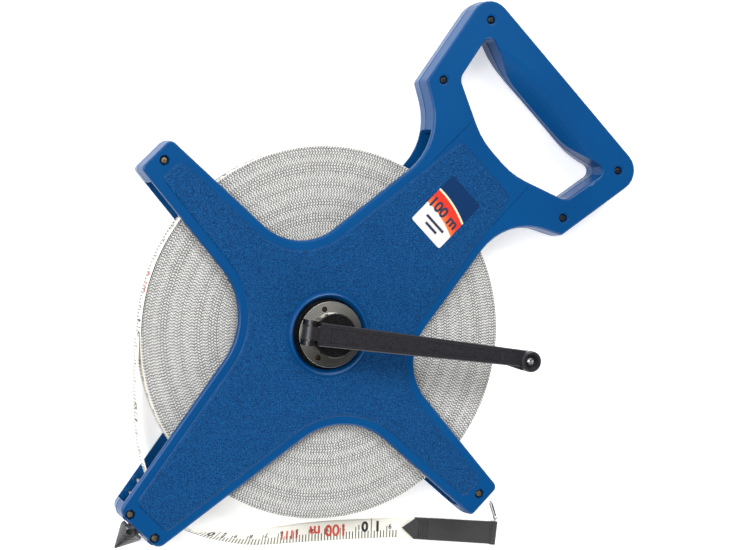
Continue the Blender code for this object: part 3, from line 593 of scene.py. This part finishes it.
def metal(name, low, high, roughness):
    look = Look(name, low, roughness, 1.0)
    scratch = look.noise(900.0, 3.0, 0.6)
    look.set("Base Color", look.ramp(scratch, [(0.3, low), (0.7, high)]))
    look.set("Roughness", look.fit(scratch, 0.2, 0.8, roughness - 0.06, roughness + 0.1))
    look.bump(scratch, 0.015)
    return look


def plastic(name, low, high, roughness, grain, depth):
    look = Look(name, low, roughness)
    spots = look.noise(grain, 3.0, 0.6)
    look.set("Base Color", look.ramp(spots, [(0.3, low), (0.7, high)]))
    look.set("Roughness", look.fit(spots, 0.2, 0.8, roughness - 0.05, roughness + 0.08))
    look.bump(spots, depth)
    return look


def spike_steel():
    look = Look("spike_steel", (0.10, 0.10, 0.105), 0.38, 0.85)
    lines = look.noise(1.0, 4.0, 0.7, look.stretched((60.0, 1500.0, 900.0), (0.0, 0.0, -math.pi / 4.0)))
    look.set("Base Color", look.ramp(lines, [(0.3, (0.045, 0.045, 0.048)), (0.7, (0.16, 0.16, 0.165))]))
    look.set("Roughness", look.fit(lines, 0.2, 0.8, 0.3, 0.5))
    look.bump(lines, 0.03)
    return look


def make_looks():
    made = {"blue": moulded_blue(), "coil": wound_tape(), "tape": printed_tape(), "disc": turned_steel()}
    made["spike"] = spike_steel()
    for look in (
        ink("tape_marks_black", (0.010, 0.010, 0.010), (0.035, 0.033, 0.03)),
        ink("tape_marks_red", (0.52, 0.045, 0.02), (0.66, 0.09, 0.05)),
        metal("ground_steel", (0.42, 0.42, 0.41), (0.62, 0.62, 0.60), 0.26),
        metal("bright_zinc", (0.55, 0.55, 0.55), (0.78, 0.78, 0.78), 0.24),
        metal("bright_wire", (0.55, 0.56, 0.58), (0.80, 0.81, 0.82), 0.16),
        metal("brassy_zinc", (0.26, 0.19, 0.12), (0.52, 0.42, 0.28), 0.36),
        metal("blackened", (0.05, 0.045, 0.045), (0.14, 0.125, 0.12), 0.36),
        metal("dark_rivet", (0.03, 0.02, 0.012), (0.12, 0.08, 0.05), 0.45),
        plastic("satin_black", (0.004, 0.004, 0.0045), (0.009, 0.0085, 0.009), 0.24, 900.0, 0.006),
        plastic("charcoal", (0.010, 0.0095, 0.012), (0.024, 0.023, 0.028), 0.30, 1100.0, 0.015),
        plastic("rubber", (0.018, 0.018, 0.018), (0.034, 0.034, 0.035), 0.62, 1500.0, 0.05),
        plastic("pale_nylon", (0.55, 0.54, 0.50), (0.70, 0.69, 0.64), 0.4, 300.0, 0.02),
    ):
        made[look.material.name] = look
    return made


def dress_frame(looks):
    dress(["front_shell", "rear_shell"], looks["blue"])
    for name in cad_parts:
        if name.startswith("shell_screw"):
            dark = "handle" in name or "neck" in name
            dress([name], looks["blackened" if dark else "brassy_zinc"])
    dress(["front_bush", "winding_drum", "crank_hub"], looks["satin_black"])
    dress(["crank_arm", "knob_grip"], looks["charcoal"])
    dress(["end_sleeve"], looks["rubber"])
    dress(["thrust_washer", "guide_roller"], looks["pale_nylon"])
    dress(["hub_plate"], looks["disc"])
    dress(["plate_rivet_1", "plate_rivet_2"], looks["dark_rivet"])
    dress(["hub_screw", "knob_screw"], looks["bright_zinc"])
    dress(["end_loop"], looks["bright_wire"])
    dress(["ground_spike"], looks["spike"])
    pins = ["axle", "spike_pin", "guide_pin_1", "guide_pin_2", "roller_pin", "hinge_pin", "tape_anchor_pin"]
    dress([*pins, "knob_spindle"], looks["ground_steel"])


# ---------------------------------------------------------------- the label


def label_place(u, v, out):
    """A point over the label's face: u runs out along the handle, v square to it."""
    root = math.sqrt(2.0)
    return Vector(((u - v) / root, (u + v) / root, LABEL_TOP_Z + out))


def label_print():
    """Bands across the label, white, orange, cream and navy, whose edges bend a little."""
    look = Look("label_print", (0.7, 0.7, 0.68), 0.3)
    x, y, _ = look.axes()
    u = look.math("MULTIPLY", look.math("ADD", x, y), 1.0 / math.sqrt(2.0) / MM)
    v = look.math("MULTIPLY", look.math("SUBTRACT", y, x), 1.0 / math.sqrt(2.0) / MM)
    bend = look.math("MULTIPLY_ADD", look.math("MULTIPLY", v, v), 0.009, look.math("MULTIPLY", v, -0.16))
    height = look.math("ADD", u, bend)
    white, navy, cream = (0.66, 0.65, 0.64), (0.003, 0.026, 0.095), (0.80, 0.66, 0.45)
    orange, red = (0.80, 0.16, 0.035), (0.62, 0.035, 0.02)
    stops = [(0.0, white), (0.37, white), (0.375, orange), (0.52, red), (0.645, red)]
    stops += [(0.65, cream), (0.68, cream), (0.685, navy), (1.0, navy)]
    look.set("Base Color", look.ramp(look.fit(height, LABEL_START, LABEL_END, 0.0, 1.0), stops))
    look.set("Roughness", look.fit(look.noise(400.0), 0.3, 0.7, 0.30, 0.33))
    look.set("Specular IOR Level", 0.3)
    return look


def add_label():
    dress(["label"], label_print())
    dark = Look("label_ink", (0.02, 0.03, 0.06), 0.35)
    stops = [(0.3, (0.015, 0.02, 0.045)), (0.7, (0.03, 0.04, 0.08))]
    dark.set("Base Color", dark.ramp(dark.noise(600.0), stops))

    def on_label(along, across):
        return label_place(101.0 + across, along, 0.04)

    mesh = bmesh.new()
    points, faces, width, height = glyph_outlines("100 m", 9.2, 0.3)
    verts = [mesh.verts.new(on_label(width / 2.0 - x, y - height / 2.0)) for x, y in points]
    for face in faces:
        mesh.faces.new([verts[i] for i in face])
    for across, length in ((-8.6, 15.0), (-12.2, 9.5)):
        print_bar(mesh, on_label, 0.0, across - 0.8, across + 0.8, length)
    for face in mesh.faces:
        face.normal_update()
        if face.normal.z < 0.0:
            face.normal_flip()
    made = piece("label_marks", mesh, [dark], "frame", smooth=False)


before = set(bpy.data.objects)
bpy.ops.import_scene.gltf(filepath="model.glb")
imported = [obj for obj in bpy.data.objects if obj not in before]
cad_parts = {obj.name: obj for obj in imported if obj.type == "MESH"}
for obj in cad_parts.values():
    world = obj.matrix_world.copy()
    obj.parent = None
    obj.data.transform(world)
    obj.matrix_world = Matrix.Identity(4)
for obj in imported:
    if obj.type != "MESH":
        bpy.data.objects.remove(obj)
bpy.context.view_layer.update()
add_camera()
looks = make_looks()
add_tape_end(looks)
add_coil(looks)
dress_frame(looks)
add_label()
add_studio()
add_floor()
bpy.context.view_layer.update()
